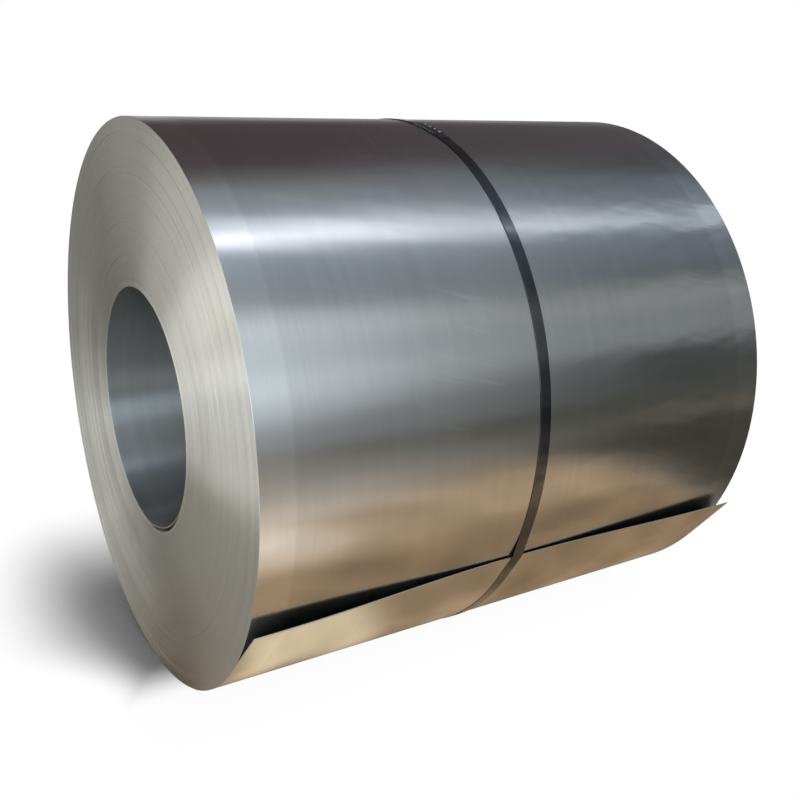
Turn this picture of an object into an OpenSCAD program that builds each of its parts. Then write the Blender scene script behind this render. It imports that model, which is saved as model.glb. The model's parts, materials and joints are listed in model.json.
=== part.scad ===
// Steel coil lying on its side: one strip wound on itself round an open eye, its loose tail sprung off
// at the front, held by one steel strap with a crimped seal.
// +X runs along the eye, +Z is up, the tail is at -Y, and the origin is on the floor under the middle.
// Angles round the eye start at the underside and grow towards the front: 90 is the front, 180 the top.

/* [Coil] */
// Outer diameter of the wound coil
coil_d = 1172; // [900:1:1600]
// Width of the strip, which is the length of the eye
strip_w = 1200; // [900:1:1500]
// Thickness of the strip
strip_t = 2; // [1:0.1:3]
// Diameter of the eye
eye_d = 508; // [400:1:610]

/* [Turns on the ends] */
// Furthest that a bunch of turns stands out or in along the eye
wander = 0.4; // [0.2:0.1:3]
// Radial depth of the first wraps, which sit in at the -X end
first_wraps = 64; // [40:1:90]
// Bunches of turns among the first wraps
first_bunches = 4; // [2:1:8]
// Bunches of turns outside the first wraps
main_bunches = 20; // [10:1:30]

/* [Tail of the strip] */
// Angle of the tail's free edge
tail_angle = 62.5; // [50:0.5:75]
// How far the free edge stands out from the coil under the strap
tail_lift_strap = 5; // [3:0.5:8]
// How far the free edge stands out at the -X end
tail_lift_near = 24; // [10:0.5:40]
// How far the free edge stands out at the +X end
tail_lift_far = 20; // [10:0.5:40]

/* [Head of the strip] */
// Angle of the innermost turn's free edge
head_angle = 4; // [0:0.5:10]
// Angle over which the innermost turn has sprung clear of the next one
head_span = 51; // [35:1:65]
// Widest gap behind the innermost turn
head_gap = 7; // [3:0.5:12]
// Width of the slit at the innermost turn's free edge
head_slit = 3; // [1:0.5:6]

/* [Strap] */
// Width of the strap
strap_w = 25; // [16:1:32]
// Thickness of the strap
strap_t = 1; // [0.6:0.1:1.5]
// Place of the strap along the eye
strap_x = -10; // [-150:1:150]
// Lean of the strap, with its top towards +X
strap_lean = 1.5; // [0:0.1:3]
// Clearance between the strap and the coil where they are closest
strap_seat = 0.1; // [0.05:0.05:0.3]
// Length over which the strap's two ends lie on each other
strap_lap = 130; // [100:1:200]

/* [Strap seal] */
// Angle of the middle of the seal
seal_angle = 164; // [120:1:200]
// Length of the seal along the strap
seal_len = 75; // [50:1:90]
// Thickness of the seal's sheet
seal_t = 1; // [0.6:0.1:1.5]
// Clearance between the seal and the strap
seal_fit = 0.15; // [0.05:0.05:0.3]
// Crimp notches along each side of the seal
notch_count = 4; // [2:1:5]
// Radius of a crimp notch
notch_r = 3.5; // [2:0.5:5]

/* [Hidden] */
$fn = 180;
coil_r = coil_d / 2;
eye_r = eye_d / 2;
// Angle between one bunch of turns and the next in the wave that sets their shifts
bunch_phase = 137.5;
// Depth of the tail's root below the coil's surface
tail_root = 0.2;
tail_stations = 12;
tail_shift = wander * 0.6;
root_r = coil_r - tail_root;
// Share of the sprung length that lies on each side of the head's widest gap
head_half_share = 0.6;
strap_in_r = (coil_r + strap_seat + strap_w / 2 * sin(strap_lean)) / cos(strap_lean);
strap_out_r = strap_in_r + strap_t;
axis_z = strap_out_r * cos(strap_lean) + strap_w / 2 * sin(strap_lean);
// The strap crosses the tail's free edge here, measured from the middle towards -X
strap_cross = coil_r * cos(tail_angle) * tan(strap_lean) - strap_x;

function polar(r, a) = [r * cos(a), r * sin(a)];
function arc_angle(length, r) = length / r * 180 / PI;

// Radius of the inner edge of each bunch of turns
function bunch_r(i) =
    i < first_bunches
        ? eye_r + first_wraps * i / first_bunches
        : eye_r + first_wraps + (coil_r - eye_r - first_wraps) * (i - first_bunches) / main_bunches;

// Shift of each bunch of turns along the eye: the first wraps sit in, the next bunch stands out
function bunch_shift(i) =
    i < first_bunches
        ? -wander * (i % 2 == 0 ? 1 : 0.7)
        : wander * cos(bunch_phase * (i - first_bunches));

// One end of the turned profile, a flat step for each bunch
function end_steps(z) = [
    for (i = [0 : first_bunches + main_bunches - 1])
        for (edge = [0, 1])
            [bunch_r(i + edge), z + bunch_shift(i)]
];

function reversed(list) = [for (i = [len(list) - 1 : -1 : 0]) list[i]];

// How far the tail's edge stands out, smoothly from the strap to both ends
function tail_lift(z) =
    let (
        towards_near = z > strap_cross,
        end_lift = towards_near ? tail_lift_near : tail_lift_far,
        reach = towards_near ? strip_w / 2 - strap_cross : strip_w / 2 + strap_cross,
        share = min(1, abs(z - strap_cross) / reach)
    )
    tail_lift_strap + (end_lift - tail_lift_strap) * (1 - cos(180 * share)) / 2;

// Angle from the tail's root, where it leaves the coil as a tangent, to its free edge
function tail_bend(z) = acos(root_r / (coil_r + tail_lift(z)));

// Four corners of the tail across the strip: root inside, root outside, edge outside, edge inside
function tail_section(z) =
    let (
        root_angle = tail_angle - tail_bend(z),
        out = polar(1, root_angle),
        along = polar(1, root_angle + 90),
        reach = root_r * tan(tail_bend(z))
    )
    [
        for (corner = [[-strip_t, 0], [0, 0], [0, reach], [-strip_t, reach]])
            concat((root_r + corner[0]) * out + corner[1] * along, z)
    ];

// Puts a shape whose axis is Z and whose X points down along the eye, with its +Z end at -X
module along_eye() translate([0, 0, axis_z]) rotate([0, 90, 180]) children();

module along_strap() translate([strap_x, 0, axis_z]) rotate([0, strap_lean, 0]) rotate([0, 90, 180]) children();

module wound_turns() {
    near = end_steps(strip_w / 2);
    far = reversed(end_steps(-strip_w / 2));
    rotate_extrude() polygon(concat(near, far));
}

// The outermost lap's loose end, a straight sheet that leaves the coil as a tangent
module tail() {
    stations = [
        for (i = [0 : tail_stations])
            (i / tail_stations - 0.5) * strip_w + tail_shift
    ];
    points = [for (z = stations) each tail_section(z)];
    sides = [
        for (i = [0 : tail_stations - 1])
            for (k = [0 : 3])
                let (a = 4 * i + k, b = 4 * i + (k + 1) % 4)
                each [[a, b, b + 4], [a, b + 4, a + 4]]
    ];
    last = 4 * tail_stations;
    polyhedron(points, concat(sides, [[3, 2, 1, 0], [last, last + 1, last + 2, last + 3]]));
}

// The gap behind the innermost turn, a crescent that opens into the eye at the turn's free edge
module head_crescent() {
    behind_r = eye_r + strip_t;
    half = head_span * head_half_share;
    middle = head_angle + head_span - half;
    deep_r = behind_r + head_gap;
    offset_r = (deep_r * deep_r - behind_r * behind_r) / (2 * (deep_r - behind_r * cos(half)));
    slit_half = arc_angle(head_slit, eye_r);
    linear_extrude(strip_w + 4 * wander, center = true)
        intersection() {
            union() {
                difference() {
                    translate(polar(offset_r, middle)) circle(deep_r - offset_r);
                    circle(behind_r);
                }
                rotate(head_angle)
                    polygon([
                        polar(eye_r - head_gap, -slit_half),
                        polar(behind_r + strip_t / 2, -slit_half),
                        polar(behind_r + strip_t / 2, slit_half),
                        polar(eye_r - head_gap, slit_half)
                    ]);
            }
            polygon([
                [0, 0],
                polar(coil_r, head_angle),
                polar(coil_r, middle),
                polar(coil_r, middle + half + 1)
            ]);
        }
}

module steel_coil() {
    color("#b4b3ad")
        along_eye()
            difference() {
                union() {
                    wound_turns();
                    tail();
                }
                head_crescent();
            }
}

// Outline of one face of the strap: it rises along the tail to its edge and comes straight down behind it
module strap_outline(r) {
    bend = tail_bend(strap_cross);
    bar_r = r - tail_root;
    circle(r);
    polygon([
        [0, 0],
        polar(bar_r, tail_angle - bend),
        polar(bar_r / cos(bend), tail_angle),
        polar(bar_r, tail_angle + bend)
    ]);
}

// The strap's upper end, lying on the lower one
module strap_lap_outline() {
    half = arc_angle(strap_lap, strap_out_r) / 2;
    far_r = 2 * coil_r;
    intersection() {
        difference() {
            circle(strap_out_r + strap_t);
            circle(strap_out_r - strap_t / 2);
        }
        polygon([[0, 0], polar(far_r, seal_angle - half), polar(far_r, seal_angle + half)]);
    }
}

module strap() {
    color("#2e333a")
        along_strap()
            linear_extrude(strap_w, center = true) {
                difference() {
                    strap_outline(strap_out_r);
                    strap_outline(strap_in_r);
                }
                strap_lap_outline();
            }
}

// Section of the seal: a sheet folded over both laps of the strap, open towards the coil
module seal_section() {
    inner_half = strap_w / 2 + seal_fit;
    outer_half = inner_half + seal_t;
    inner_top = strap_in_r + 2 * strap_t + seal_fit;
    difference() {
        translate([strap_in_r, -outer_half]) square([inner_top + seal_t - strap_in_r, 2 * outer_half]);
        translate([0, -inner_half]) square([inner_top, 2 * inner_half]);
    }
}

module strap_seal() {
    span = arc_angle(seal_len, strap_in_r);
    notch_step = span / notch_count;
    color("#3b4147")
        along_strap()
            difference() {
                rotate([0, 0, seal_angle - span / 2]) rotate_extrude(angle = span) seal_section();
                for (i = [0 : notch_count - 1], side = [-1, 1])
                    rotate([0, 0, seal_angle + (i - (notch_count - 1) / 2) * notch_step])
                        translate([strap_in_r, 0, side * (strap_w / 2 + seal_fit + seal_t + notch_r / 2)])
                            rotate([0, 90, 0])
                                cylinder(h = 20 * seal_t, r = notch_r, center = true);
            }
}

steel_coil();
strap();
strap_seal();
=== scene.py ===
"""Looks of a coil of rolled steel strip with its strap and seal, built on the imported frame.

Angles round the eye start at the underside and grow towards the front: 90 degrees is the front, 180 the top.
The near end is at -X, and lengths are in metres.
"""

import json
import math
import random

import bmesh
import bpy
from mathutils import Matrix, Vector


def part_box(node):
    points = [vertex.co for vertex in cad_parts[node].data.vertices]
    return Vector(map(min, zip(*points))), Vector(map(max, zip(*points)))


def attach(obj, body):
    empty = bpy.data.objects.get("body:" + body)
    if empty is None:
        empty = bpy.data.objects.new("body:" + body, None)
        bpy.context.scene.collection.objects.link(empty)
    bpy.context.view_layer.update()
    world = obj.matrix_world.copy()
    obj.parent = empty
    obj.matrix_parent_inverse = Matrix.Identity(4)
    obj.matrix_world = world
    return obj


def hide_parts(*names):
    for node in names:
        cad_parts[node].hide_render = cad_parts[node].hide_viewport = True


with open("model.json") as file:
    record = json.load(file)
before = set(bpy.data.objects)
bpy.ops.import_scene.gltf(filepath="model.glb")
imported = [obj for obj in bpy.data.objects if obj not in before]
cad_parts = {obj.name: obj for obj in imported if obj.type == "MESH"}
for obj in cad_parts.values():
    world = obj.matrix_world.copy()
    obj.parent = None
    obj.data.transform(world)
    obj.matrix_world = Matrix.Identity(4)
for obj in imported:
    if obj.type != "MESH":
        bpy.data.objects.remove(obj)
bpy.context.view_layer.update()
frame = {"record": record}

bl_info = {
    "name": "Steel coil",
    "version": (1, 0, 0),
    "blender": (4, 5, 0),
    "location": "View3D > Sidebar > Coil",
    "description": "Makes a coil of rolled steel strip with its strap, its seal and a studio stage",
    "category": "Object",
}

EYE = frame["record"]["mounts"][0]
AXIS_HEIGHT = EYE["pos_m"][2]
BODY = "root"
STRIP_MAP = "strip"

# Materials of the strip's pieces, in the order in which steel_set gives them
ROLLED, SLIT, SHEARED, EYE_WALL = range(4)

# Seed of the small chances in how the turns lie, and the share of the wander that chance adds
TURN_SEED = 11
TURN_CHANCE = 0.3
# Angle between one bunch of turns and the next in the wave that sets their shifts
BUNCH_PHASE = math.radians(137.5)
# Every second bunch of the first wraps sits in a little less
SHALLOW_SHARE = 0.7
# Grooves between turns: most are fine, three are deep, and each is some times deeper than wide
FINE_GROOVE = (0.00001, 0.00003)
DEEP_GROOVE = 0.0003
GROOVE_DEPTH = 4
MAIN_DEEP_BUNCH = 12
RIM_CHAMFER = 0.0006

# Shares of the gap at the head that come from the turns bent outwards and from the head sprung inwards
BENT_SHARE = 0.55
SPRUNG_SHARE = 0.45
# Radial depth over which the turns behind the head are bent
BENT_DEPTH = 0.045
# Slit between the head's free edge and the end of the same turn
HEAD_SLIT = math.radians(0.7)
TURN_CLEARANCE = 0.00005

# Angle at which the tail's own sheet begins, and its clearance from the turn below
TAIL_START = math.radians(22)
TAIL_CLEARANCE = 0.00015
TAIL_ACROSS = 96
TAIL_ALONG = 48

# Depth of the tail's root below the coil's surface, where the strap starts to rise
TAIL_ROOT = 0.0002
STRAP_STEPS = 200
LAP_STEPS = 16
STRAP_ROUNDING = 0.25

SEAL_FIT = 0.00015
SEAL_STEPS = 48
SEAL_ROUNDING = 0.0006
# Cuts across the seal's top, on both sides of its middle, which give the crimps' bite marks and painted
# glint their shape
SEAL_CUTS = (0.002, 0.0045, 0.007, 0.009, 0.0115)
CRIMP_WIDTH = 0.0032
CRIMP_DEPTH = 0.0011
# Place and reach across the seal of the bright spot on each crimp, which is partly a painted glint
CRIMP_SPOT = 0.007
CRIMP_SPOT_REACH = 0.005

# Faces that meet at more than this angle make an edge that is rounded
FOLD_ANGLE = 1.2
# Tolerance for telling which level a point lies on
NEARLY = 0.0001

WHITE = (1, 1, 1, 1)
BLACK = (0, 0, 0, 1)

# Panels of the studio vault. Heights are in degrees as seen from the coil: 0 is the front, 90 overhead.
# Each has its lowest and highest height at the coil and far along the eye, its softness, its colours at the
# coil and far along, and the places along the eye where the one turns into the other.
PANELS = {
    "whole vault": (-90, 300, -90, 300, 10, (0.33, 0.35, 0.37), (0.05, 0.055, 0.055), 0.4, 5.0),
    "blue roof": (48, 88, 44, 96, 32, (0.35, 0.41, 0.49), (0.205, 0.24, 0.29), 0.8, 4.5),
    "dark roof": (98, 300, 110, 300, 20, (0.082, 0.062, 0.068), (0.098, 0.088, 0.096), 0.8, 4.5),
    "window": (3, 43, 11, 40, 11, (0.80, 0.91, 1.00), (0.29, 0.32, 0.335), 0.6, 3.2),
    "bright pane": (13, 21, 13, 19, 6, (1.00, 1.12, 1.22), (0.30, 0.33, 0.34), 0.6, 3.2),
    "upper pane": (35.5, 40, 29, 34, 5, (0.98, 1.08, 1.16), (0.38, 0.40, 0.41), 0.6, 3.4),
    "roof light": (68, 78.5, 65, 74.5, 8, (1.30, 1.41, 1.62), (0.50, 0.59, 0.68), 0.8, 5.2),
    "roof light core": (71, 73.2, 68, 69.6, 1.5, (2.9, 3.05, 3.35), (1.3, 1.42, 1.55), 0.8, 5.2),
    "back window": (156, 172, 166, 172, 14, (0.46, 0.48, 0.49), (0.10, 0.10, 0.10), 0.8, 6.0),
    "back wall": (163, 300, 163, 300, 28, (0.30, 0.30, 0.29), (0.75, 0.78, 0.80), -1.5, 0.8),
}
VAULT_RADIUS = 4.5
VAULT_HEIGHTS = (-14, 194)
VAULT_HALF_LENGTH = 6.5
VAULT_STEP = 6

# Patches of the workshop floor that the steel mirrors: range along X, range along Y, softness and colour
PATCHES = {
    "dim front": (-9.0, 9.0, -9.0, -1.75, 0.8, (0.085, 0.09, 0.08)),
    "pale near half": (-9.0, 0.7, -9.0, 0.3, 2.4, (0.44, 0.42, 0.39)),
    "dark far half": (0.92, 9.0, -1.6, 9.0, 0.3, (0.06, 0.06, 0.05)),
    "brown far spot": (1.65, 2.60, -2.1, -1.6, 0.3, (0.18, 0.165, 0.13)),
    "dark back": (-9.0, -0.7, 0.5, 9.0, 0.6, (0.085, 0.083, 0.077)),
    "foot of the near wall": (-9.0, -2.75, -1.2, 2.2, 0.6, (0.20, 0.20, 0.19)),
    "bright near strip": (-2.75, -1.4, -2.6, -0.5, 0.4, (1.30, 1.30, 1.25)),
    "grey near strip": (-2.75, -1.4, -0.5, 0.5, 0.4, (0.40, 0.39, 0.37)),
    "grey by the near end": (-1.40, -0.76, -1.7, 0.0, 0.2, (0.40, 0.385, 0.35)),
    "grey behind the near end": (-1.60, -0.74, 0.0, 1.15, 0.2, (0.31, 0.30, 0.272)),
    "front shade at the near end": (-0.76, -0.60, -1.7, 0.02, 0.1, (0.28, 0.268, 0.243)),
    "back shade at the near end": (-0.74, -0.60, 0.02, 1.2, 0.1, (0.10, 0.094, 0.084)),
    "warm boards": (-0.62, 0.82, -1.45, 0.4, 0.32, (0.44, 0.315, 0.195)),
    "pale board": (-0.70, 0.25, -1.75, -1.05, 0.5, (0.68, 0.61, 0.53)),
    "light board": (-0.62, 0.78, -1.28, -0.86, 0.25, (0.56, 0.42, 0.275)),
    "brown board": (-0.25, 0.78, -0.78, -0.50, 0.20, (0.34, 0.235, 0.145)),
    "bright spot in front": (-0.55, -0.16, -1.42, -0.92, 0.22, (1.08, 0.95, 0.81)),
    "brown board at the tail": (0.12, 1.00, -0.46, -0.28, 0.14, (0.36, 0.245, 0.145)),
    "bright spot at the tail": (-0.50, -0.20, -0.46, -0.26, 0.14, (0.86, 0.71, 0.49)),
    "shade under the coil": (-0.65, 0.90, -0.20, 0.50, 0.12, (0.10, 0.075, 0.055)),
}
PLAIN_FLOOR = (0.05, 0.055, 0.05)

# Glowing boards round the coil: a corner, two sides and a colour
BOARDS = {
    "left_wall": ((-6.5, -4.6, 0), (0, 9.2, 0), (0, 0, 5.2), (0.60, 0.60, 0.58)),
    "left_horizon": ((-5.0, -3.0, 0.30), (0, 4.5, 0), (0, 0, 0.45), (2.9, 3.1, 3.15)),
    "left_panel": ((-4.2, 1.4, 0.15), (0, -4.6, 2.65), (0, 0.6, 1.04), (1.5, 1.5, 1.45)),
    "low_back_panel": ((-4.6, 1.5, 0.0), (0.6, 1.6, 0), (0, 0, 0.8), (0.50, 0.50, 0.48)),
    "back_left_panel": ((-4.6, 2.2, 0.9), (2.0, 1.6, 0), (0, 0, 2.3), (1.05, 1.05, 1.0)),
    "upper_bar": ((-1.25, 0.50, 0.60), (0, -0.90, 0.40), (0, 0.10, 0.26), (1.6, 1.6, 1.54)),
    "middle_bar": ((-1.25, 0.50, 0.46), (0, -1.00, 0.24), (0, 0.03, 0.14), (1.5, 1.53, 1.50)),
    "lower_bar": ((-1.25, 0.50, 0.12), (0, -1.00, 0.16), (0, 0.02, 0.32), (0.95, 0.96, 0.93)),
    "camera_side_panel": ((-2.3, -1.15, 0.51), (1.3, -0.95, 0.26), (0, 0, 0.8), (1.6, 1.75, 1.85)),
    "right_wall": ((6.5, -4.6, 0), (0, 9.2, 0), (0, 0, 5.2), (0.09, 0.095, 0.10)),
    "right_panel": ((6.0, -0.4, 0.3), (0, 4.0, 0), (0, 0, 2.4), (1.3, 1.3, 1.28)),
}


class CoilSizes(bpy.types.PropertyGroup):
    """Sizes of the wound strip."""

    outer_radius: bpy.props.FloatProperty(
        name="Outer radius", description="Radius of the wound coil",
        default=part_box("steel_coil")[1].z - AXIS_HEIGHT, subtype="DISTANCE",
    )
    eye_radius: bpy.props.FloatProperty(
        name="Eye radius", description="Radius of the open eye",
        default=EYE["dims"]["r_mm"] / 1000, subtype="DISTANCE",
    )
    width: bpy.props.FloatProperty(
        name="Strip width", description="Width of the strip, which is the length of the eye",
        default=EYE["dims"]["length_mm"] / 1000, subtype="DISTANCE",
    )
    thickness: bpy.props.FloatProperty(
        name="Strip thickness", description="Thickness of the strip", default=0.002, subtype="DISTANCE"
    )
    wander: bpy.props.FloatProperty(
        name="Wander", description="Furthest that a bunch of turns stands out or in along the eye",
        default=0.0002, subtype="DISTANCE",
    )
    first_wraps: bpy.props.FloatProperty(
        name="First wraps", description="Radial depth of the first wraps, which sit in at the near end",
        default=0.064, subtype="DISTANCE",
    )
    first_bunches: bpy.props.IntProperty(
        name="First bunches", description="Bunches of turns among the first wraps", default=4
    )
    main_bunches: bpy.props.IntProperty(
        name="Main bunches", description="Bunches of turns outside the first wraps", default=20
    )
    turns_shown: bpy.props.IntProperty(
        name="Turns shown", description="Turns that show as steps in each bunch", default=3
    )
    round_steps: bpy.props.IntProperty(
        name="Round steps", description="Steps round the eye", default=168
    )
    tail_angle: bpy.props.FloatProperty(
        name="Tail angle", description="Angle of the tail's free edge",
        default=math.radians(62.5), subtype="ANGLE",
    )
    tail_lift_near: bpy.props.FloatProperty(
        name="Tail lift, near end", description="How far the tail's edge stands out at the near end",
        default=0.024, subtype="DISTANCE",
    )
    tail_lift_strap: bpy.props.FloatProperty(
        name="Tail lift, strap", description="How far the tail's edge stands out under the strap",
        default=0.005, subtype="DISTANCE",
    )
    tail_lift_far: bpy.props.FloatProperty(
        name="Tail lift, far end", description="How far the tail's edge stands out at the far end",
        default=0.020, subtype="DISTANCE",
    )
    head_angle: bpy.props.FloatProperty(
        name="Head angle", description="Angle of the innermost turn's free edge",
        default=math.radians(4), subtype="ANGLE",
    )
    head_span: bpy.props.FloatProperty(
        name="Head span",
        description="Angle over which the innermost turn has sprung clear of the next one",
        default=math.radians(51), subtype="ANGLE",
    )
    head_gap: bpy.props.FloatProperty(
        name="Head gap", description="Widest gap behind the innermost turn",
        default=0.007, subtype="DISTANCE",
    )


class StrapSizes(bpy.types.PropertyGroup):
    """Sizes of the strap and its seal."""

    width: bpy.props.FloatProperty(
        name="Strap width", description="Width of the strap", default=0.025, subtype="DISTANCE"
    )
    thickness: bpy.props.FloatProperty(
        name="Strap thickness", description="Thickness of the strap", default=0.001, subtype="DISTANCE"
    )
    place: bpy.props.FloatProperty(
        name="Strap place", description="Place of the strap along the eye",
        default=-0.010, subtype="DISTANCE",
    )
    lean: bpy.props.FloatProperty(
        name="Strap lean", description="Lean of the strap, with its top towards the far end",
        default=math.radians(1.5), subtype="ANGLE",
    )
    seat: bpy.props.FloatProperty(
        name="Strap seat", description="Clearance between the strap and the coil where they are closest",
        default=0.0001, subtype="DISTANCE",
    )
    lap: bpy.props.FloatProperty(
        name="Strap lap", description="Length over which the strap's two ends lie on each other",
        default=0.130, subtype="DISTANCE",
    )
    seal_angle: bpy.props.FloatProperty(
        name="Seal angle", description="Angle of the middle of the seal",
        default=math.radians(164), subtype="ANGLE",
    )
    seal_length: bpy.props.FloatProperty(
        name="Seal length", description="Length of the seal along the strap",
        default=0.075, subtype="DISTANCE",
    )
    seal_thickness: bpy.props.FloatProperty(
        name="Seal thickness", description="Thickness of the seal's sheet",
        default=0.001, subtype="DISTANCE",
    )
    crimps: bpy.props.IntProperty(
        name="Crimps", description="Crimps along each side of the seal", default=4
    )


class CoilColours(bpy.types.PropertyGroup):
    """Colours of the steel, the strap and the seal."""

    steel: bpy.props.FloatVectorProperty(
        name="Rolled steel", description="Colour of the strip's rolled faces",
        default=(0.62, 0.61, 0.59), subtype="COLOR",
    )
    # Lighter than the rolled steel, as painted light on the coil's ends
    lit_turn_edges: bpy.props.FloatVectorProperty(
        name="Edges of the turns", description="Colour of the slit edges that make up the coil's ends",
        default=(0.70, 0.685, 0.645), subtype="COLOR",
    )
    # Darker and bluer than the rolled steel: painted shade and a painted cool reflection on the strip's
    # inside faces
    shaded_eye_wall: bpy.props.FloatVectorProperty(
        name="Wall of the eye", description="Colour of the first turn's inside",
        default=(0.46, 0.495, 0.515), subtype="COLOR",
    )
    sheared: bpy.props.FloatVectorProperty(
        name="Sheared edge", description="Colour of the fresh cut across the strip",
        default=(0.80, 0.74, 0.62), subtype="COLOR",
    )
    strap: bpy.props.FloatVectorProperty(
        name="Blued strap", description="Colour of the blued and waxed strap",
        default=(0.135, 0.138, 0.147), subtype="COLOR",
    )
    seal: bpy.props.FloatVectorProperty(
        name="Seal", description="Colour of the blued seal", default=(0.14, 0.15, 0.16), subtype="COLOR"
    )


class StageSettings(bpy.types.PropertyGroup):
    """Camera, floor and light."""

    camera_place: bpy.props.FloatVectorProperty(
        name="Camera place", description="Where the camera stands",
        default=(-1.1808, -1.9304, 1.1271), subtype="TRANSLATION",
    )
    camera_turn: bpy.props.FloatProperty(
        name="Camera turn", description="How far the camera turns from the front towards the far end",
        default=math.radians(32.163), subtype="ANGLE",
    )
    camera_dip: bpy.props.FloatProperty(
        name="Camera dip", description="How far the camera looks down",
        default=math.radians(14.995), subtype="ANGLE",
    )
    lens: bpy.props.FloatProperty(
        name="Lens", description="Focal length in millimetres on a sensor 36 mm wide", default=43.58
    )
    floor: bpy.props.FloatVectorProperty(
        name="Floor", description="Colour of the floor", default=(0.95, 0.95, 0.95), subtype="COLOR"
    )
    sky_level: bpy.props.FloatProperty(
        name="Sky level", description="Strength of the even light from all round", default=0.25
    )
    key_power: bpy.props.FloatProperty(
        name="Key power", description="Power of the soft lamp in front", default=420.0, unit="POWER"
    )


def on_coil(x, radius, angle):
    """Point at a place along the eye, a radius and an angle round it."""
    return Vector((x, -radius * math.sin(angle), AXIS_HEIGHT - radius * math.cos(angle)))


def angle_of(point):
    """Angle of a point round the eye."""
    return math.atan2(-point.y, AXIS_HEIGHT - point.z) % math.tau


def radius_of(point):
    """Distance of a point from the eye's axis."""
    return math.hypot(point.y, point.z - AXIS_HEIGHT)


def outwards(point):
    """Direction from the eye's axis to a point."""
    return (point - Vector((point.x, 0, AXIS_HEIGHT))).normalized()


def spin_round(bm, geom, angle, steps, merge=False):
    """Spins geometry round the eye, in the sense in which angles grow."""
    axis = {"cent": (0, 0, AXIS_HEIGHT), "axis": (-1, 0, 0)}
    return bmesh.ops.spin(bm, geom=geom, angle=angle, steps=steps, use_merge=merge, **axis)


def spin_section(bm, corners, start, sweep, steps):
    """Spins a closed section, given as places along the eye and radii, from an angle onwards."""
    section = bm.faces.new([bm.verts.new(on_coil(x, radius, start)) for x, radius in corners])
    return spin_round(bm, [section, *section.edges, *section.verts], sweep, steps)


def face_out(bm):
    """Turns all faces outwards."""
    bmesh.ops.recalc_face_normals(bm, faces=bm.faces)


def folded_edges(bm):
    """Edges at which two faces meet sharply."""
    return [edge for edge in bm.edges if edge.is_manifold and edge.calc_face_angle() > FOLD_ANGLE]


def round_edges(bm, edges, offset, segments):
    """Rounds edges off."""
    bmesh.ops.bevel(
        bm, geom=edges, offset=offset, segments=segments, profile=0.5, affect="EDGES", material=-1
    )


def map_strip(bm, radius):
    """Maps each face in metres: across the strip or out along an end, and along the strip."""
    layer = bm.loops.layers.uv.new(STRIP_MAP)
    for face in bm.faces:
        middle = angle_of(face.calc_center_median())
        on_end = abs(face.normal.x) > 0.7
        for loop in face.loops:
            point = loop.vert.co
            turn = angle_of(point) - middle
            turn -= math.tau * round(turn / math.tau)
            across = radius_of(point) if on_end else point.x
            loop[layer].uv = (across, (middle + turn) * radius)


def mesh_of(bm, name):
    """Makes a mesh of a bmesh, which is used up."""
    mesh = bpy.data.meshes.new(name)
    bm.to_mesh(mesh)
    bm.free()
    return mesh


def finish_piece(bm, name, materials, node, smooth_angle=30):
    """Makes an object of a bmesh, which rides on the body and stands for a node."""
    mesh = mesh_of(bm, name)
    mesh.shade_smooth()
    mesh.set_sharp_from_angle(angle=math.radians(smooth_angle))
    for material in materials:
        mesh.materials.append(material)
    piece = bpy.data.objects.new(name, mesh)
    bpy.context.scene.collection.objects.link(piece)
    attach(piece, BODY)
    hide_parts(node)


def bunch_edges(sizes):
    """Inner and outer radius of each bunch of turns, and its shift towards the near end."""
    inner = sizes.eye_radius + sizes.first_wraps
    for i in range(sizes.first_bunches):
        low = sizes.eye_radius + sizes.first_wraps * i / sizes.first_bunches
        high = sizes.eye_radius + sizes.first_wraps * (i + 1) / sizes.first_bunches
        yield low, high, -sizes.wander * (1 if i % 2 == 0 else SHALLOW_SHARE)
    depth = sizes.outer_radius - inner
    for i in range(sizes.main_bunches):
        low = inner + depth * i / sizes.main_bunches
        high = inner + depth * (i + 1) / sizes.main_bunches
        yield low, high, sizes.wander * math.cos(BUNCH_PHASE * i)


def turn_steps(sizes):
    """Radius at both edges of each turn that shows, its shift, and the groove before it."""
    chance = random.Random(TURN_SEED)
    steps = []
    deep = (1, sizes.first_bunches, sizes.first_bunches + MAIN_DEEP_BUNCH)
    for bunch, (low, high, shift) in enumerate(bunch_edges(sizes)):
        depth = (high - low) / sizes.turns_shown
        for i in range(sizes.turns_shown):
            jitter = chance.uniform(-TURN_CHANCE, TURN_CHANCE) * sizes.wander
            groove = DEEP_GROOVE if bunch in deep and i == 0 else chance.uniform(*FINE_GROOVE)
            steps.append((low + depth * i, low + depth * (i + 1), shift + jitter, groove))
    return steps


def end_outline(sizes, first_radius, side):
    """Outline of one end from the eye to the rim, as places along the eye and radii."""
    points = []
    for low, high, shift, groove in turn_steps(sizes):
        face = side * sizes.width / 2 - shift
        low = max(low, first_radius)
        if points:
            bottom = points[-1][0] - side * GROOVE_DEPTH * groove
            points.append((bottom, low))
            points.append((bottom, low + groove))
            low += groove
        points.append((face, low))
        points.append((face, high))
    face, rim = points.pop()
    points.append((face, rim - RIM_CHAMFER))
    points.append((face - side * RIM_CHAMFER, rim))
    return points


def head_opening(sizes, angle):
    """How open the gap behind the innermost turn is at an angle, from 0 to 1."""
    share = (angle - sizes.head_angle) / sizes.head_span
    if share < 0 or share > 1:
        return 0.0
    rise = min(1.0, (share + 0.18) / 0.42)
    fall = min(1.0, (1 - share) / 0.55)
    return math.sin(rise * math.pi / 2) * math.sin(fall * math.pi / 2) ** 2


def feed(tree, node, inputs):
    """Sets or links the inputs of a node."""
    for key, value in inputs.items():
        if isinstance(value, bpy.types.NodeSocket):
            tree.links.new(value, node.inputs[key])
        else:
            node.inputs[key].default_value = value


def add_node(tree, kind, inputs=None, **settings):
    """Adds a node with its settings and inputs."""
    node = tree.nodes.new(kind)
    for key, value in settings.items():
        setattr(node, key, value)
    feed(tree, node, inputs or {})
    return node


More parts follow.
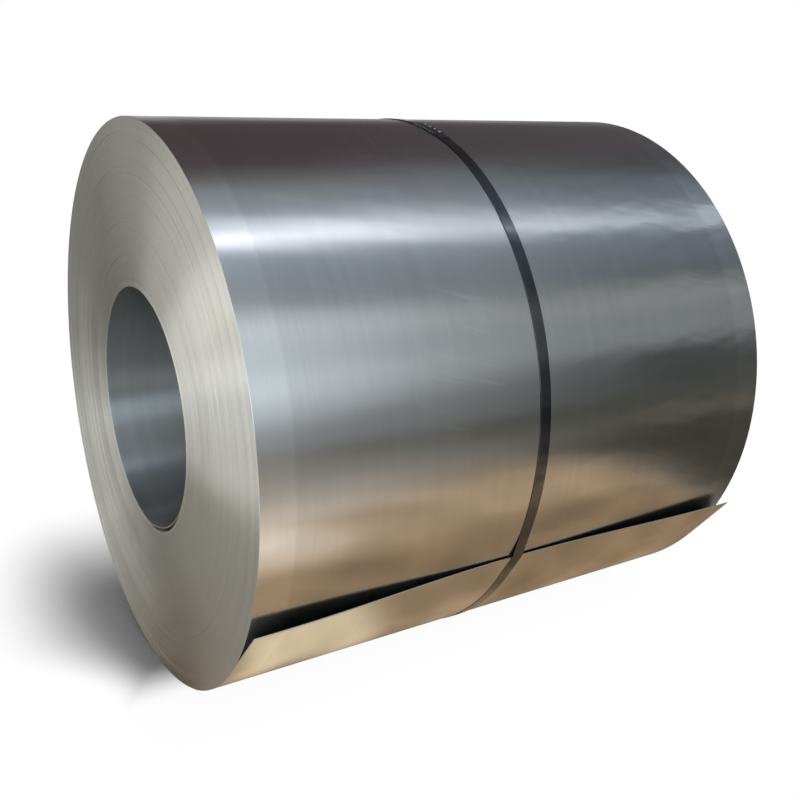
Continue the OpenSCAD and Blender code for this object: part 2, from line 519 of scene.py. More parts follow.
def new_material(name, colour, roughness, anisotropy=0.0):
    """Metal whose rolled grain runs along the strip; gives the material, its tree and its shader."""
    material = bpy.data.materials.new(name)
    material.use_nodes = True
    material.diffuse_color = (*colour, 1)
    tree = material.node_tree
    shader = tree.nodes["Principled BSDF"]
    feed(tree, shader, {"Base Color": (*colour, 1), "Metallic": 1.0, "Roughness": roughness})
    if anisotropy:
        across = add_node(tree, "ShaderNodeTangent", direction_type="UV_MAP", uv_map=STRIP_MAP)
        feed(tree, shader, {"Anisotropic": anisotropy, "Tangent": across.outputs["Tangent"]})
    return material, tree, shader


def calc(tree, operation, first, second=0.0):
    """Sum, product or other reckoning of one or two values."""
    node = add_node(tree, "ShaderNodeMath", {0: first, 1: second}, operation=operation)
    return node.outputs[0]


def weighted(tree, *terms):
    """Sum of values, each times its weight."""
    total = None
    for value, weight in terms:
        term = calc(tree, "MULTIPLY", value, weight)
        total = term if total is None else calc(tree, "ADD", total, term)
    return total


def between(tree, value, low, high, out_low=0.0, out_high=1.0):
    """Smooth step from one value to another, held at both ends."""
    inputs = {"Value": value, "From Min": low, "From Max": high, "To Min": out_low, "To Max": out_high}
    node = add_node(tree, "ShaderNodeMapRange", inputs, interpolation_type="SMOOTHSTEP")
    return node.outputs[0]


def parts_of(tree, places):
    """The three parts of a vector."""
    return add_node(tree, "ShaderNodeSeparateXYZ", {"Vector": places}).outputs[:]


def strip_places(tree):
    """Coordinates of the strip: the first runs across it or out along an end, the second along it."""
    return add_node(tree, "ShaderNodeUVMap", uv_map=STRIP_MAP).outputs["UV"]


def grain(tree, places, across, along, detail=2.0, turn=0.0, warp=0.0):
    """Noise with its own scale across and along the strip, per metre."""
    turned = add_node(tree, "ShaderNodeMapping", {"Vector": places, "Rotation": (0, 0, turn)})
    scaled = add_node(
        tree, "ShaderNodeMapping", {"Vector": turned.outputs[0], "Scale": (across, along, 1)}
    )
    inputs = {"Vector": scaled.outputs[0], "Scale": 1.0, "Detail": detail, "Distortion": warp}
    return add_node(tree, "ShaderNodeTexNoise", inputs, noise_dimensions="2D").outputs[0]


def mix_colours(tree, factor, first, second, label=""):
    """Goes from one colour to another."""
    inputs = {0: factor, 6: first, 7: second}
    node = add_node(tree, "ShaderNodeMix", inputs, data_type="RGBA", clamp_factor=True, label=label)
    return node.outputs[2]


def bump(tree, height, distance, normal=None):
    """Raises fine relief on a surface, or on relief that it has already."""
    inputs = {"Height": height, "Distance": distance}
    if normal is not None:
        inputs["Normal"] = normal
    return add_node(tree, "ShaderNodeBump", inputs).outputs["Normal"]


def toned(tree, tone, colour, darkest, lightest):
    """A colour that a tone from 0 to 1 makes darker or lighter."""
    dark, light = ((*(min(1.0, part * factor) for part in colour), 1) for factor in (darkest, lightest))
    return mix_colours(tree, tone, dark, light)


def rolled_steel(colours, sizes):
    """Bright satin strip: rolled grain, edge bands lightened as a painted highlight, thin oil film, faint
    rub marks and slight waves.
    """
    material, tree, shader = new_material("bright_rolled_steel", colours.steel, 0.22, anisotropy=0.35)
    places = strip_places(tree)
    across = parts_of(tree, places)[0]
    half = sizes.width / 2
    fine = grain(tree, places, 650, 3.0)
    rolled = grain(tree, places, 45, 0.35, detail=3)
    oil = grain(tree, places, 2.4, 1.9, detail=4, warp=0.5)
    # Lighter bands along both edges of the strip: a painted highlight for the brighter reflection of its
    # edges
    uneven = calc(tree, "MULTIPLY", grain(tree, places, 0.1, 4, detail=1), 0.005)
    from_middle = calc(tree, "ADD", calc(tree, "ABSOLUTE", across), uneven)
    edge_highlight = between(tree, from_middle, half - 0.068, half - 0.060)
    scratch = between(tree, grain(tree, places, 240, 2.0, detail=1, turn=0.05), 0.70, 0.80)
    swipe = between(tree, grain(tree, places, 5, 75, turn=0.3, warp=0.4), 0.58, 0.80)
    rub_patch = between(tree, grain(tree, places, 2.2, 2.6, detail=3), 0.44, 0.62)
    rubs = calc(tree, "MULTIPLY", calc(tree, "MAXIMUM", scratch, swipe), rub_patch)

    tone = weighted(tree, (rolled, 0.4), (fine, 0.4), (edge_highlight, 0.5), (rubs, 0.2))
    colour = toned(tree, tone, colours.steel, 0.9, 1.1)
    film = between(tree, oil, 0.50, 0.72, 0.0, 0.2)
    colour = mix_colours(tree, film, colour, (0.56, 0.53, 0.49, 1))
    gloss = between(tree, oil, 0.3, 0.7, 0.20, 0.25)
    gloss = calc(tree, "ADD", gloss, calc(tree, "MULTIPLY", rubs, 0.04))

    # The strip lies slacker towards its far edge, so its waves grow there
    loose = between(tree, across, 0.1, half)
    springy = between(tree, across, -0.25, half)
    edge_waves = calc(tree, "MULTIPLY", grain(tree, places, 2.6, 9, detail=1, turn=0.25), loose)
    ripples = calc(tree, "MULTIPLY", grain(tree, places, 5, 22, detail=1, turn=-0.2), springy)
    creases = calc(tree, "MULTIPLY", grain(tree, places, 6, 28, turn=0.25, warp=0.3), springy)
    normal = bump(tree, grain(tree, places, 1.5, 5.5, detail=1), 0.0018)
    normal = bump(tree, grain(tree, places, 3.2, 15, detail=1, turn=0.12), 0.0005, normal)
    normal = bump(tree, edge_waves, 0.0022, normal)
    normal = bump(tree, ripples, 0.0009, normal)
    normal = bump(tree, creases, 0.0004, normal)
    normal = bump(tree, fine, 0.000005, normal)
    feed(tree, shader, {"Base Color": colour, "Roughness": gloss, "Normal": normal})
    return material


def shaded_eye_wall_steel(colours):
    """Inside of the first turn and of the tail: the same strip, dulled by the mandrel and mottled with oil;
    its colour is darker and bluer than the strip's, as painted shade and a painted cool reflection.
    """
    material, tree, shader = new_material("shaded_eye_wall_steel", colours.shaded_eye_wall, 0.42, anisotropy=1.0)
    places = strip_places(tree)
    rolled = grain(tree, places, 60, 0.5, detail=3)
    oil = grain(tree, places, 5, 4, detail=3)
    tone = weighted(tree, (rolled, 0.6), (oil, 0.4))
    colour = toned(tree, tone, colours.shaded_eye_wall, 0.85, 1.15)
    gloss = between(tree, oil, 0.3, 0.7, 0.39, 0.45)
    normal = bump(tree, rolled, 0.00001)
    feed(tree, shader, {"Base Color": colour, "Roughness": gloss, "Normal": normal})
    return material


def turn_edge_steel(colours, sizes):
    """Slit edges of the turns, made lighter than the strip as painted light: fine rings, broader bands,
    faint smudges and a painted highlight on the rim at the eye.
    """
    material, tree, shader = new_material("slit_edges_of_turns", colours.lit_turn_edges, 0.38, anisotropy=0.9)
    places = strip_places(tree)
    out = parts_of(tree, places)[0]
    rings = grain(tree, places, 900, 0.3)
    bands = grain(tree, places, 60, 0.15, detail=3)
    smudge = grain(tree, places, 7, 4, detail=3)
    # Painted highlight: the first turns round the eye are made lighter, as where they stand out and catch
    # the light
    rim = between(tree, out, sizes.eye_radius + 0.013, sizes.eye_radius + 0.010)
    tone = weighted(tree, (rings, 0.5), (bands, 0.5), (rim, 0.5))
    colour = toned(tree, tone, colours.lit_turn_edges, 0.88, 1.12)
    film = between(tree, smudge, 0.52, 0.7, 0.0, 0.15)
    colour = mix_colours(tree, film, colour, (0.50, 0.48, 0.43, 1))
    gloss = between(tree, bands, 0.3, 0.7, 0.355, 0.405)
    normal = bump(tree, rings, 0.00003)
    feed(tree, shader, {"Base Color": colour, "Roughness": gloss, "Normal": normal})
    return material


def sheared_steel(colours):
    """Fresh cut across the strip, with fine shear lines."""
    material, tree, shader = new_material("sheared_edge", colours.sheared, 0.34)
    lines = grain(tree, strip_places(tree), 900, 40)
    colour = toned(tree, lines, colours.sheared, 0.85, 1.15)
    gloss = between(tree, lines, 0.3, 0.7, 0.28, 0.42)
    feed(tree, shader, {"Base Color": colour, "Roughness": gloss})
    return material


def blued_strap(colours, strap):
    """Blued and waxed strap: drawn grain along it, rubbed edges and a few scuffs."""
    material, tree, shader = new_material("blued_strap", colours.strap, 0.10)
    places = strip_places(tree)
    across = parts_of(tree, places)[0]
    drawn = grain(tree, places, 1500, 6)
    wax = grain(tree, places, 40, 9, detail=3)
    scuffs = between(tree, grain(tree, places, 500, 40, turn=0.5), 0.66, 0.74)
    from_middle = calc(tree, "ABSOLUTE", across)
    rubbed = between(tree, from_middle, strap.width / 2 - 0.0012, strap.width / 2 - 0.0002)
    tone = weighted(tree, (drawn, 0.5), (wax, 0.5))
    colour = toned(tree, tone, colours.strap, 0.7, 1.3)
    worn = calc(tree, "MAXIMUM", calc(tree, "MULTIPLY", rubbed, 0.15), calc(tree, "MULTIPLY", scuffs, 0.12))
    colour = mix_colours(tree, worn, colour, (0.42, 0.42, 0.42, 1))
    gloss = between(tree, wax, 0.3, 0.7, 0.085, 0.13)
    normal = bump(tree, drawn, 0.00001)
    feed(tree, shader, {"Base Color": colour, "Roughness": gloss, "Normal": normal})
    return material


def crimped_seal(colours):
    """Blued seal, bright where the crimping tool bit, and brightest on the far half as a painted glint."""
    material, tree, shader = new_material("crimped_seal", colours.seal, 0.34)
    bite_and_glint = add_node(tree, "ShaderNodeAttribute", attribute_name="bite_and_glint").outputs["Fac"]
    drawn = grain(tree, strip_places(tree), 900, 500, detail=3)
    colour = toned(tree, drawn, colours.seal, 0.75, 1.3)
    # Bite marks and the painted glint turn light grey and less metallic
    bright = between(tree, calc(tree, "MULTIPLY", bite_and_glint, calc(tree, "ADD", drawn, 0.6)), 0.3, 0.8)
    colour = mix_colours(tree, bright, colour, (0.78, 0.77, 0.75, 1))
    gloss = between(tree, drawn, 0.3, 0.7, 0.28, 0.42)
    gloss = calc(tree, "ADD", gloss, calc(tree, "MULTIPLY", bright, 0.25))
    metal_share = between(tree, bright, 0.0, 1.0, 1.0, 0.15)
    normal = bump(tree, drawn, 0.00003)
    feed(tree, shader, {"Base Color": colour, "Metallic": metal_share, "Roughness": gloss, "Normal": normal})
    return material


def steel_set(scene):
    """Rolled, slit and sheared steel and the eye's wall, made once and shared by the strip's pieces."""
    names = ("bright_rolled_steel", "slit_edges_of_turns", "sheared_edge", "shaded_eye_wall_steel")
    if names[0] not in bpy.data.materials:
        rolled_steel(scene.coil_colours, scene.coil_sizes)
        turn_edge_steel(scene.coil_colours, scene.coil_sizes)
        sheared_steel(scene.coil_colours)
        shaded_eye_wall_steel(scene.coil_colours)
    return [bpy.data.materials[name] for name in names]


class COIL_OT_wound_turns(bpy.types.Operator):
    """Turn the wound strip, with stepped ends and its turns bent round the sprung head"""

    bl_idname = "coil.wound_turns"
    bl_label = "Wound turns"

    def execute(self, context):
        sizes = context.scene.coil_sizes
        first_radius = sizes.eye_radius + sizes.thickness
        outline = end_outline(sizes, first_radius, -1) + end_outline(sizes, first_radius, 1)[::-1]
        bm = bmesh.new()
        corners = [bm.verts.new(on_coil(x, radius, 0)) for x, radius in outline]
        for i, corner in enumerate(corners):
            bm.edges.new((corner, corners[i - 1]))
        spin_round(bm, bm.verts[:] + bm.edges[:], math.tau, sizes.round_steps, merge=True)
        bmesh.ops.remove_doubles(bm, verts=bm.verts, dist=0.000001)
        face_out(bm)
        for vert in bm.verts:
            radius = radius_of(vert.co)
            depth = (radius - first_radius) / BENT_DEPTH
            if depth >= 1:
                continue
            angle = angle_of(vert.co)
            push = BENT_SHARE * sizes.head_gap * head_opening(sizes, angle) * (1 - depth) ** 2
            vert.co = on_coil(vert.co.x, radius + push, angle)
        bm.normal_update()
        for face in bm.faces:
            radius = radius_of(face.calc_center_median())
            if abs(face.normal.x) > 0.5:
                face.material_index = SLIT
            elif radius < first_radius + 0.00005:
                face.material_index = EYE_WALL
            elif radius > sizes.outer_radius - 0.0002:
                face.material_index = ROLLED
            else:
                face.material_index = SLIT
        map_strip(bm, sizes.outer_radius)
        finish_piece(bm, "wound_turns", steel_set(context.scene), "steel_coil")
        return {"FINISHED"}


class COIL_OT_first_turn(bpy.types.Operator):
    """Make the innermost turn, whose head has sprung into the eye"""

    bl_idname = "coil.first_turn"
    bl_label = "First turn"

    def execute(self, context):
        sizes = context.scene.coil_sizes
        low = sizes.eye_radius
        high = sizes.eye_radius + sizes.thickness - TURN_CLEARANCE
        near = -sizes.width / 2 + sizes.wander
        far = sizes.width / 2 + sizes.wander
        corners = [(near, low), (near, high), (far, high), (far, low)]
        bm = bmesh.new()
        spin_section(bm, corners, sizes.head_angle, math.tau - HEAD_SLIT, sizes.round_steps)
        face_out(bm)
        for vert in bm.verts:
            angle = angle_of(vert.co)
            inward = SPRUNG_SHARE * sizes.head_gap * head_opening(sizes, angle)
            vert.co = on_coil(vert.co.x, radius_of(vert.co) - inward, angle)
        bm.normal_update()
        for face in bm.faces:
            if abs(face.normal.x) > 0.5:
                face.material_index = SLIT
            elif abs(face.normal.dot(outwards(face.calc_center_median()))) < 0.5:
                face.material_index = SHEARED
            else:
                face.material_index = EYE_WALL
        map_strip(bm, sizes.outer_radius)
        finish_piece(bm, "first_turn", steel_set(context.scene), "steel_coil")
        return {"FINISHED"}


def strap_crossing(sizes, strap):
    """Place along the eye where the strap crosses the tail's edge."""
    return strap.place - sizes.outer_radius * math.cos(sizes.tail_angle) * math.tan(strap.lean)


def tail_lift(sizes, cross, x):
    """How far the tail's edge stands out at a place along the eye."""
    half = sizes.width / 2
    if x < cross:
        end_lift = sizes.tail_lift_near
        share = (cross - x) / (half + cross)
    else:
        end_lift = sizes.tail_lift_far
        share = (x - cross) / (half - cross)
    rise = (1 - math.cos(math.pi * min(1, share))) / 2
    return sizes.tail_lift_strap + (end_lift - sizes.tail_lift_strap) * rise


class COIL_OT_tail(bpy.types.Operator):
    """Make the loose tail, which follows the coil and then springs off straight to its sheared edge"""

    bl_idname = "coil.tail"
    bl_label = "Tail"

    def execute(self, context):
        sizes = context.scene.coil_sizes
        cross = strap_crossing(sizes, context.scene.strap_sizes)
        radius = sizes.outer_radius + TAIL_CLEARANCE
        bm = bmesh.new()
        bmesh.ops.create_grid(bm, x_segments=TAIL_ACROSS, y_segments=TAIL_ALONG, size=0.5)
        for vert in bm.verts:
            x = vert.co.x * sizes.width - 0.6 * sizes.wander
            edge_radius = sizes.outer_radius + tail_lift(sizes, cross, x)
            bend = math.acos(radius / edge_radius)
            lift_off = sizes.tail_angle - bend
            arc = (lift_off - TAIL_START) * radius
            run = (vert.co.y + 0.5) * (arc + radius * math.tan(bend))
            if run < arc:
                vert.co = on_coil(x, radius, TAIL_START + run / radius)
            else:
                straight = (run - arc) / radius
                vert.co = on_coil(x, math.hypot(radius, run - arc), lift_off + math.atan(straight))
        face_out(bm)
        bm.faces.ensure_lookup_table()
        first = bm.faces[0]
        if first.normal.dot(outwards(first.calc_center_median())) < 0:
            bmesh.ops.reverse_faces(bm, faces=bm.faces)
        bmesh.ops.solidify(bm, geom=bm.faces[:], thickness=sizes.thickness)
        bm.normal_update()
        for face in bm.faces:
            facing = face.normal.dot(outwards(face.calc_center_median()))
            if abs(face.normal.x) > 0.7:
                face.material_index = SLIT
            elif abs(facing) < 0.7:
                face.material_index = SHEARED
            # The tail's inside takes the eye wall's steel, which is darkened as painted shade
            elif facing < 0:
                face.material_index = EYE_WALL
        map_strip(bm, sizes.outer_radius)
        finish_piece(bm, "loose_tail", steel_set(context.scene), "steel_coil")
        return {"FINISHED"}


def strap_radius(sizes, strap):
    """Inside radius of the strap's ring, which clears the coil although it leans."""
    reach = sizes.outer_radius + strap.seat + strap.width / 2 * math.sin(strap.lean)
    return reach / math.cos(strap.lean)


def lean_strap(bm, strap):
    """Leans a ring that stands square to the eye and puts it in its place."""
    axis = Vector((0, 0, AXIS_HEIGHT))
    lean = Matrix.Rotation(strap.lean, 4, "Y")
    bmesh.ops.rotate(bm, verts=bm.verts, cent=axis, matrix=lean)
    bmesh.ops.translate(bm, verts=bm.verts, vec=(strap.place, 0, 0))


class COIL_OT_strap(bpy.types.Operator):
    """Make the strap: round the coil, up over the tail's edge and lapped under the seal"""

    bl_idname = "coil.strap"
    bl_label = "Strap"

    def execute(self, context):
        sizes = context.scene.coil_sizes
        strap = context.scene.strap_sizes
        low = strap_radius(sizes, strap)
        high = low + strap.thickness
        half = strap.width / 2
        bend = math.acos((sizes.outer_radius - TAIL_ROOT) / (sizes.outer_radius + sizes.tail_lift_strap))
        start = sizes.tail_angle + bend
        ring = [(-half, low), (-half, high), (half, high), (half, low)]
        bm = bmesh.new()
        spun = spin_section(bm, ring, start, math.tau - 2 * bend, STRAP_STEPS)

        # The ring's two ends rise to a corner over the tail's edge and are joined there
        end_cap = next(item for item in spun["geom_last"] if isinstance(item, bmesh.types.BMFace))
        corner = bmesh.ops.extrude_face_region(bm, geom=[end_cap])
        raised = [item for item in corner["geom"] if isinstance(item, bmesh.types.BMVert)]
        for vert in raised:
            vert.co = on_coil(vert.co.x, radius_of(vert.co) / math.cos(bend), sizes.tail_angle)
        first_verts = [vert for vert in bm.verts if abs(angle_of(vert.co) - start) < NEARLY]
        first_loop = [edge for edge in bm.edges if all(vert in first_verts for vert in edge.verts)]
        last_loop = [edge for edge in bm.edges if all(vert in raised for vert in edge.verts)]
        inside = [
            face for face in bm.faces
            if face == end_cap
            or all(vert in first_verts for vert in face.verts)
            or all(vert in raised for vert in face.verts)
        ]
        bmesh.ops.delete(bm, geom=inside, context="FACES_ONLY")
        bmesh.ops.bridge_loops(bm, edges=first_loop + last_loop)

        lap_half = strap.lap / high / 2
        lap_top = high + strap.thickness
        lap = [(-half, high), (-half, lap_top), (half, lap_top), (half, high)]
        spin_section(bm, lap, strap.seal_angle - lap_half, 2 * lap_half, LAP_STEPS)
        face_out(bm)
        round_edges(bm, folded_edges(bm), strap.thickness * STRAP_ROUNDING, 2)
        map_strip(bm, sizes.outer_radius)
        lean_strap(bm, strap)
        blued = blued_strap(context.scene.coil_colours, strap)
        finish_piece(bm, "strap_band", [blued], "strap", smooth_angle=20)
        return {"FINISHED"}


def crimp_shine(x):
    """How bright a crimp is across the seal: bite marks on both halves, with a painted glint that makes the
    far half brightest.
    """
    spot = max(0.0, 1 - abs(abs(x) - CRIMP_SPOT) / CRIMP_SPOT_REACH)
    return spot if x > 0 else 0.3 * spot


class COIL_OT_seal(bpy.types.Operator):
    """Fold the seal over the strap's lapped ends and crimp its sides"""

    bl_idname = "coil.seal"
    bl_label = "Seal"

    def execute(self, context):
        sizes = context.scene.coil_sizes
        strap = context.scene.strap_sizes
        low = strap_radius(sizes, strap)
        inner = strap.width / 2 + SEAL_FIT
        outer = inner + strap.seal_thickness
        inner_top = low + 2 * strap.thickness + SEAL_FIT
        top = inner_top + strap.seal_thickness
        span = strap.seal_length / low
        start = strap.seal_angle - span / 2
        channel = [
            (-outer, low), (-outer, top), (outer, top), (outer, low),
            (inner, low), (inner, inner_top), (-inner, inner_top), (-inner, low),
        ]
        bm = bmesh.new()
        spin_section(bm, channel, start, span, SEAL_STEPS)
        face_out(bm)
        folds = [
            edge for edge in folded_edges(bm)
            if min(radius_of(vert.co) for vert in edge.verts) > inner_top + NEARLY
        ]
        round_edges(bm, folds, SEAL_ROUNDING, 3)
        for x in (*(-cut for cut in reversed(SEAL_CUTS)), *SEAL_CUTS):
            everything = bm.verts[:] + bm.edges[:] + bm.faces[:]
            bmesh.ops.bisect_plane(bm, geom=everything, plane_co=(x, 0, 0), plane_no=(1, 0, 0), dist=0.00001)
        bite_and_glint = bm.verts.layers.float.new("bite_and_glint")
        pitch = span / strap.crimps
        for vert in bm.verts:
            place = (angle_of(vert.co) - start) / pitch
            off = abs(place - math.floor(place) - 0.5) * pitch * low
            bite = math.exp(-((off / CRIMP_WIDTH) ** 2))
            on_top = radius_of(vert.co) > top - NEARLY
            vert[bite_and_glint] = bite * crimp_shine(vert.co.x) if on_top else 0.0
            if abs(vert.co.x) > inner - NEARLY:
                vert.co.x -= math.copysign(CRIMP_DEPTH * bite, vert.co.x)
        map_strip(bm, sizes.outer_radius)
        lean_strap(bm, strap)
        blued = crimped_seal(context.scene.coil_colours)
        finish_piece(bm, "crimped_seal", [blued], "strap_seal")
        return {"FINISHED"}


def sheet(name, corner, first_side, second_side):
    """Flat sheet from a corner and two sides."""
    bm = bmesh.new()
    bmesh.ops.create_grid(bm, x_segments=1, y_segments=1, size=0.5)
    first_side = Vector(first_side)
    second_side = Vector(second_side)
    for vert in bm.verts:
        vert.co = Vector(corner) + first_side * (vert.co.x + 0.5) + second_side * (vert.co.y + 0.5)
    return mesh_of(bm, name)


def vault(name):
    """Curved sheet along the eye, from below the front over the top to below the back."""
    low, high = VAULT_HEIGHTS
    start = math.radians(90 + low)
    bm = bmesh.new()
    ends = [bm.verts.new(on_coil(x, VAULT_RADIUS, start)) for x in (-VAULT_HALF_LENGTH, VAULT_HALF_LENGTH)]
    line = bm.edges.new(ends)
    spin_round(bm, [line, *ends], math.radians(high - low), round((high - low) / VAULT_STEP))
    return mesh_of(bm, name)


def stage_object(mesh, material):
    """Puts a mesh of the stage in the scene."""
    mesh.materials.append(material)
    item = bpy.data.objects.new(mesh.name, mesh)
    bpy.context.scene.collection.objects.link(item)
    return item


def hang_card(mesh, material):
    """Puts a card where only polished metal sees it."""
    card = stage_object(mesh, material)
    card.visible_camera = False
    card.visible_diffuse = False
    card.visible_shadow = False


def bare_tree(block, output_kind):
    """Empties the node tree of a material or a world; gives the tree and its output."""
    block.use_nodes = True
    tree = block.node_tree
    tree.nodes.clear()
    return tree, add_node(tree, output_kind)


def glow_material(name, colour=BLACK):
    """Even glow that the floor isn't lit by; gives the material and the glow."""
    material = bpy.data.materials.new(name)
    tree, output = bare_tree(material, "ShaderNodeOutputMaterial")
    path = add_node(tree, "ShaderNodeLightPath")
    strength = between(tree, path.outputs["Diffuse Depth"], 0.0, 1.0, 1.0, 0.0)
    glow = add_node(tree, "ShaderNodeEmission", {"Color": colour, "Strength": strength})
    feed(tree, output, {"Surface": glow.outputs[0]})
    return material, glow


def soft_range(tree, value, low, high, soft):
    """One between two edges and nought outside them, with soft edges."""
    rise = between(tree, calc(tree, "SUBTRACT", value, low), -soft / 2, soft / 2)
    fall = between(tree, calc(tree, "SUBTRACT", value, high), soft / 2, -soft / 2)
    return calc(tree, "MULTIPLY", rise, fall)


def object_places(tree):
    """Object coordinates."""
    return add_node(tree, "ShaderNodeTexCoord").outputs["Object"]


def vault_glow():
    """Studio vault of soft panels: each lies between two heights, and shifts and fades along the eye."""
    material, glow = glow_material("studio_vault")
    tree = material.node_tree
    x, y, z = parts_of(tree, object_places(tree))
    up = calc(tree, "SUBTRACT", z, AXIS_HEIGHT)
    height = calc(tree, "ADD", calc(tree, "ARCTAN2", y, up), math.pi / 2)
    height = calc(tree, "DEGREES", height)
    colour = BLACK
    for name, (low, high, far_low, far_high, soft, near, far, fade_from, fade_to) in PANELS.items():
        along = x if fade_from < 0 else calc(tree, "ABSOLUTE", x)
        bottom = between(tree, along, fade_from, fade_to, low, far_low)
        top = between(tree, along, fade_from, fade_to, high, far_high)
        panel = mix_colours(tree, between(tree, along, fade_from, fade_to), (*near, 1), (*far, 1))
        inside = soft_range(tree, height, bottom, top, soft)
        colour = mix_colours(tree, inside, colour, panel, label=name)
    feed(tree, glow, {"Color": colour})
    return material


def floor_glow():
    """Workshop floor that the steel mirrors: dim, with soft patches of light, slightly mottled."""
    material, glow = glow_material("workshop_floor")
    tree = material.node_tree
    places = object_places(tree)
    x, y, _ = parts_of(tree, places)
    colour = (*PLAIN_FLOOR, 1)
    for name, (x_low, x_high, y_low, y_high, soft, patch) in PATCHES.items():
        in_x = soft_range(tree, x, x_low, x_high, soft)
        in_y = soft_range(tree, y, y_low, y_high, soft)
        colour = mix_colours(tree, calc(tree, "MULTIPLY", in_x, in_y), colour, (*patch, 1), label=name)
    mottle = between(tree, grain(tree, places, 5, 9, detail=3, turn=0.4), 0.25, 0.75, 0.72, 1.28)
    colour = add_node(tree, "ShaderNodeVectorMath", {0: colour, "Scale": mottle}, operation="SCALE")
    feed(tree, glow, {"Color": colour.outputs[0]})
    return material


def seen_share(tree):
    """One for what is seen or mirrored, and nought for light on matt things."""
    path = add_node(tree, "ShaderNodeLightPath")
    shown = calc(tree, "MAXIMUM", path.outputs["Is Camera Ray"], path.outputs["Is Glossy Ray"])
    return calc(tree, "MAXIMUM", shown, path.outputs["Is Transmission Ray"])


def past_edge(tree, value, middle, half):
    """How far a value lies outside a range round its middle."""
    from_middle = calc(tree, "ABSOLUTE", calc(tree, "SUBTRACT", value, middle))
    return calc(tree, "MAXIMUM", calc(tree, "SUBTRACT", from_middle, half), 0.0)


def pale_floor(colour):
    """Pale matt floor, which turns into the white background away from the coil and in front of it."""
    material = bpy.data.materials.new("pale_floor")
    tree, output = bare_tree(material, "ShaderNodeOutputMaterial")
    matt = add_node(tree, "ShaderNodeBsdfDiffuse", {"Color": (*colour, 1)})
    white = add_node(tree, "ShaderNodeEmission", {"Color": WHITE, "Strength": 1.0})
    x, y, _ = parts_of(tree, object_places(tree))
    end_fade = between(tree, y, -0.1, 0.25, 0.14, 0.33)
    past_end = calc(tree, "DIVIDE", past_edge(tree, x, 0.0, 0.60), end_fade)
    past_side = calc(tree, "DIVIDE", past_edge(tree, y, 0.15, 0.10), 0.82)
    past = add_node(tree, "ShaderNodeCombineXYZ", {"X": past_end, "Y": past_side}).outputs[0]
    away = add_node(tree, "ShaderNodeVectorMath", {0: past}, operation="LENGTH").outputs["Value"]
    in_front = between(tree, y, 0.0, -0.16, 0.0, 0.97)
    share = calc(tree, "MAXIMUM", between(tree, away, 0.15, 1.0), in_front)
    share = calc(tree, "MULTIPLY", share, seen_share(tree))
    blend = add_node(tree, "ShaderNodeMixShader", {0: share, 1: matt.outputs[0], 2: white.outputs[0]})
    feed(tree, output, {"Surface": blend.outputs[0]})
    return material


def white_world(level):
    """White behind everything that is seen or mirrored, and an even light on the rest."""
    world = bpy.data.worlds.new("white_studio")
    tree, output = bare_tree(world, "ShaderNodeOutputWorld")
    strength = between(tree, seen_share(tree), 0.0, 1.0, level, 1.0)
    sky = add_node(tree, "ShaderNodeBackground", {"Color": WHITE, "Strength": strength})
    feed(tree, output, {"Surface": sky.outputs[0]})
    return world


def area_lamp(name, place, target, size, power):
    """Round soft lamp, which polished metal doesn't mirror."""
    lamp = bpy.data.lights.new(name, "AREA")
    lamp.shape = "DISK"
    lamp.size = size
    lamp.energy = power
    item = bpy.data.objects.new(name, lamp)
    item.location = place
    item.rotation_euler = (Vector(target) - Vector(place)).to_track_quat("-Z", "Y").to_euler()
    item.visible_glossy = False
    bpy.context.scene.collection.objects.link(item)


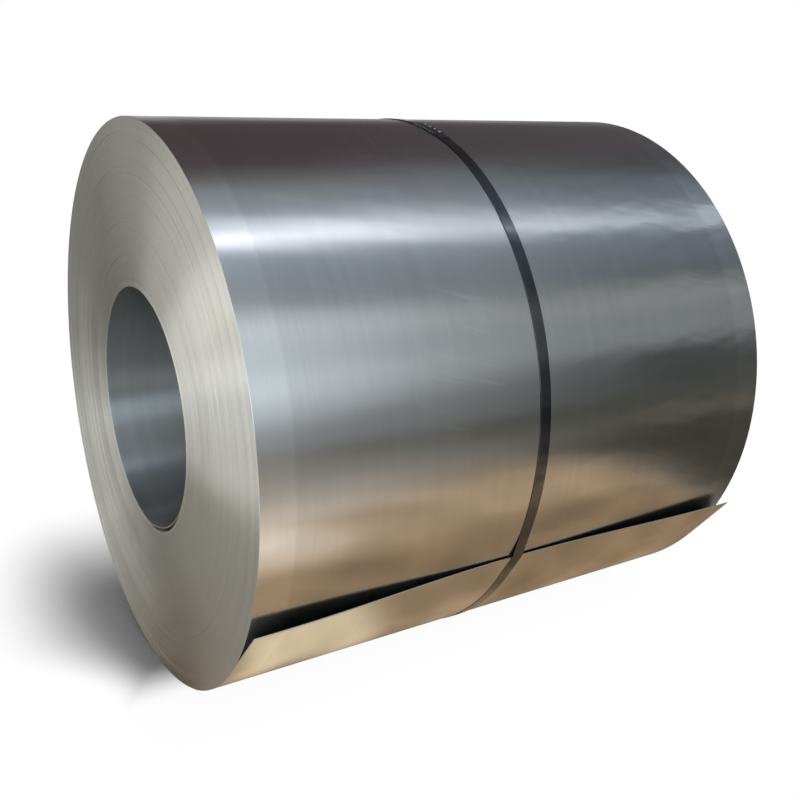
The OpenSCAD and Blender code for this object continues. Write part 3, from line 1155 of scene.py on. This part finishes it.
class COIL_OT_stage(bpy.types.Operator):
    """Set the camera, the floor, the lamp and the cards that the steel mirrors"""

    bl_idname = "coil.stage"
    bl_label = "Stage"

    def execute(self, context):
        scene = context.scene
        stage = scene.coil_stage
        lens = bpy.data.cameras.new("camera")
        lens.lens = stage.lens
        lens.sensor_width = 36
        camera = bpy.data.objects.new("camera", lens)
        camera.location = stage.camera_place
        camera.rotation_euler = (math.pi / 2 - stage.camera_dip, 0, -stage.camera_turn)
        scene.collection.objects.link(camera)
        scene.camera = camera
        scene.view_settings.view_transform = "Standard"
        scene.world = white_world(stage.sky_level)

        stage_object(sheet("floor", (-15, -15, 0), (30, 0, 0), (0, 30, 0)), pale_floor(stage.floor))
        area_lamp("key_lamp", (0.6, -4.2, 4.2), (0, 0, 0.3), 2.6, stage.key_power)
        hang_card(vault("studio_vault"), vault_glow())
        hang_card(sheet("workshop_floor", (-6.5, -4.6, 0.001), (13, 0, 0), (0, 9.2, 0)), floor_glow())
        for name, (corner, first_side, second_side, colour) in BOARDS.items():
            card, _ = glow_material(name, (*colour, 1))
            hang_card(sheet(name, corner, first_side, second_side), card)
        return {"FINISHED"}


class COIL_PT_maker(bpy.types.Panel):
    """Lists the coil's pieces and sizes in the sidebar"""

    bl_idname = "COIL_PT_maker"
    bl_label = "Steel coil"
    bl_space_type = "VIEW_3D"
    bl_region_type = "UI"
    bl_category = "Coil"

    def draw(self, context):
        for operator in MAKERS:
            self.layout.operator(operator.bl_idname)
        for settings in SETTINGS:
            box = self.layout.box()
            group = getattr(context.scene, settings)
            box.label(text=group.bl_rna.description)
            for name in group.bl_rna.properties.keys():
                if name not in ("rna_type", "name"):
                    box.prop(group, name)


SETTINGS = {
    "coil_sizes": CoilSizes,
    "strap_sizes": StrapSizes,
    "coil_colours": CoilColours,
    "coil_stage": StageSettings,
}
MAKERS = (
    COIL_OT_wound_turns,
    COIL_OT_first_turn,
    COIL_OT_tail,
    COIL_OT_strap,
    COIL_OT_seal,
    COIL_OT_stage,
)
CLASSES = (*SETTINGS.values(), *MAKERS, COIL_PT_maker)


def register():
    for item in CLASSES:
        bpy.utils.register_class(item)
    for name, group in SETTINGS.items():
        setattr(bpy.types.Scene, name, bpy.props.PointerProperty(type=group))


def unregister():
    for name in SETTINGS:
        delattr(bpy.types.Scene, name)
    for item in reversed(CLASSES):
        bpy.utils.unregister_class(item)


def main():
    register()
    bpy.ops.coil.wound_turns()
    bpy.ops.coil.first_turn()
    bpy.ops.coil.tail()
    bpy.ops.coil.strap()
    bpy.ops.coil.seal()
    bpy.ops.coil.stage()


if __name__ == "__main__":
    main()
